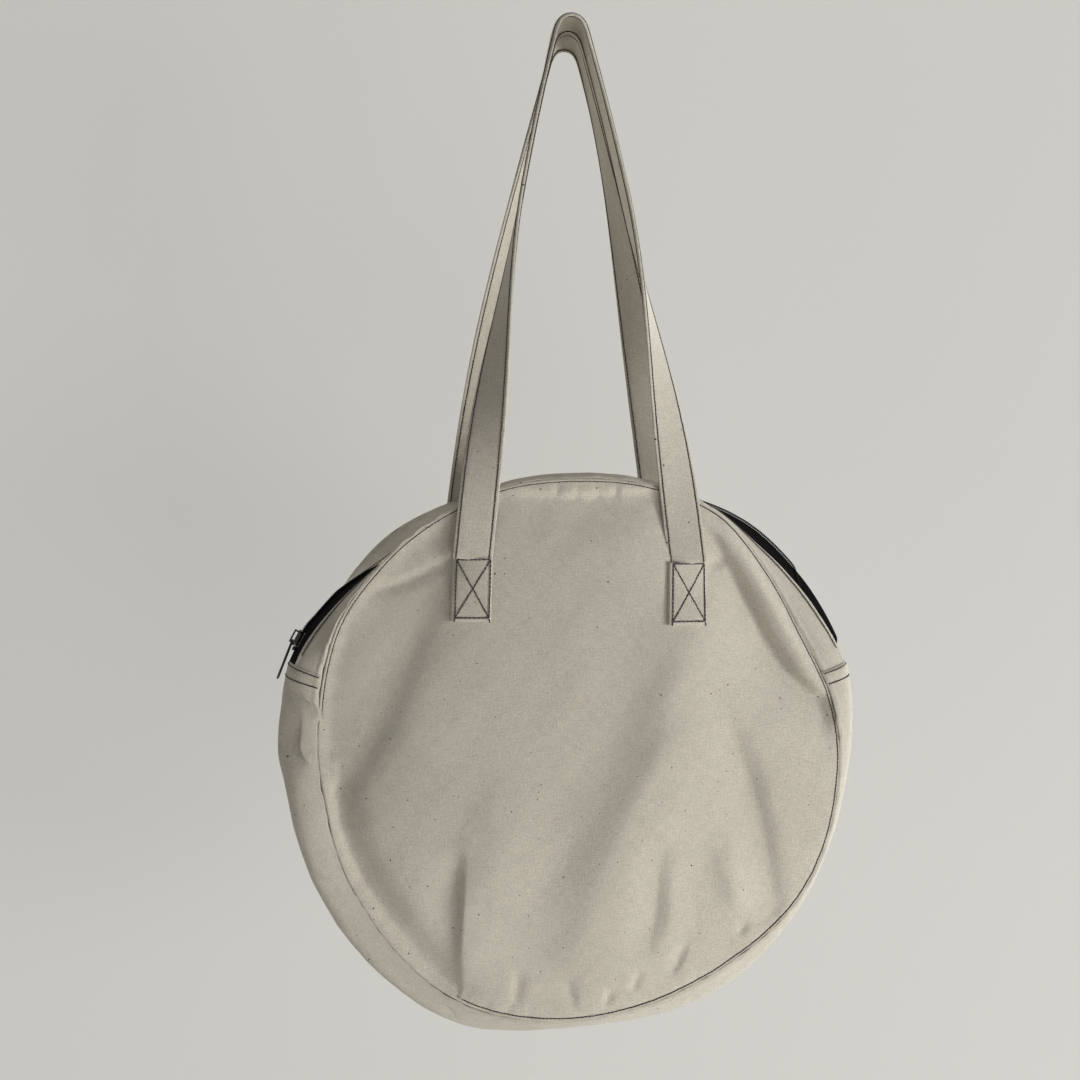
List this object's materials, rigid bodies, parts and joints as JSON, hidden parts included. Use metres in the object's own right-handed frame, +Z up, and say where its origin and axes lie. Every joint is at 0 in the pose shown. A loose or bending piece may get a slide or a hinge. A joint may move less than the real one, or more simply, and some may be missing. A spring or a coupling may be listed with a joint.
{
  "type": "circle bag",
  "caption": "Round canvas shoulder bag with a gusset, a curved zip over the top and two flat straps sewn to its panels; mouth, zip slider, pull and straps move.",
  "frame": {"origin": "underside of the two straps at their highest point, where the bag hangs", "axes": "+Z up along the hanging bag, -Y towards the front panel, +X to the right seen from the front"},
  "size_m": [0.4533, 0.095, 0.7899],
  "materials": {
    "canvas": "unbleached cotton twill with dark seed flecks",
    "thread": "dark brown sewing thread",
    "zip_tape": "black woven tape",
    "zip_teeth": "black nylon coil",
    "zip_metal": "black oxidised metal"
  },
  "bodies": {
    "bag": {"back_panel": "canvas", "front_panel_lower": "canvas", "base_gusset": "canvas", "back_zip_strip": "canvas", "back_zip_tape": "zip_tape", "back_zip_teeth": "zip_teeth", "back_zip_top_stop": "zip_metal", "zip_bottom_stop": "zip_metal", "back_strap_end_left": "canvas", "back_strap_end_right": "canvas", "back_seam_stitching": "thread", "front_seam_stitching_lower": "thread", "gusset_end_stitching": "thread", "back_zip_edge_stitching": "thread", "back_strap_box_stitching": "thread"},
    "front_flap": {"front_panel_upper": "canvas", "front_zip_strip": "canvas", "front_zip_tape": "zip_tape", "front_zip_teeth": "zip_teeth", "front_zip_top_stop": "zip_metal", "front_strap_end_left": "canvas", "front_strap_end_right": "canvas", "front_seam_stitching_upper": "thread", "front_zip_edge_stitching": "thread", "front_strap_box_stitching": "thread"},
    "front_strap": {"front_strap_loop": "canvas", "front_strap_stitching": "thread"},
    "back_strap": {"back_strap_loop": "canvas", "back_strap_stitching": "thread"},
    "zip_slider": {"zip_slider_body": "zip_metal"},
    "zip_pull": {"zip_pull": "zip_metal"}
  },
  "joints": [
    {"name": "mouth_open", "type": "hinge", "parent": "bag", "child": "front_flap", "pos_m": [0, -0.04721, -0.49132], "axis": [1, 0, 0], "range_deg": [0, 35], "deforming": ["front_zip_tape", "front_zip_teeth"]},
    {"name": "zip_travel", "type": "hinge", "parent": "bag", "child": "zip_slider", "pos_m": [0, 0, -0.5905], "axis": [0, 1, 0], "range_deg": [0, 124.26]},
    {"name": "pull_swing", "type": "hinge", "parent": "zip_slider", "child": "zip_pull", "pos_m": [-0.21471, 0, -0.48058], "axis": [0, 1, 0], "range_deg": [0, 150]},
    {"name": "front_strap_fold", "type": "hinge", "parent": "front_flap", "child": "front_strap", "pos_m": [0, -0.0425, -0.418], "axis": [1, 0, 0], "range_deg": [0, 150]},
    {"name": "back_strap_fold", "type": "hinge", "parent": "bag", "child": "back_strap", "pos_m": [0, 0.04024, -0.418], "axis": [-1, 0, 0], "range_deg": [0, 150]}
  ],
  "couplings": [
    {"joint": "zip_travel", "follows": "mouth_open", "ratio": 3.5503}
  ]
}
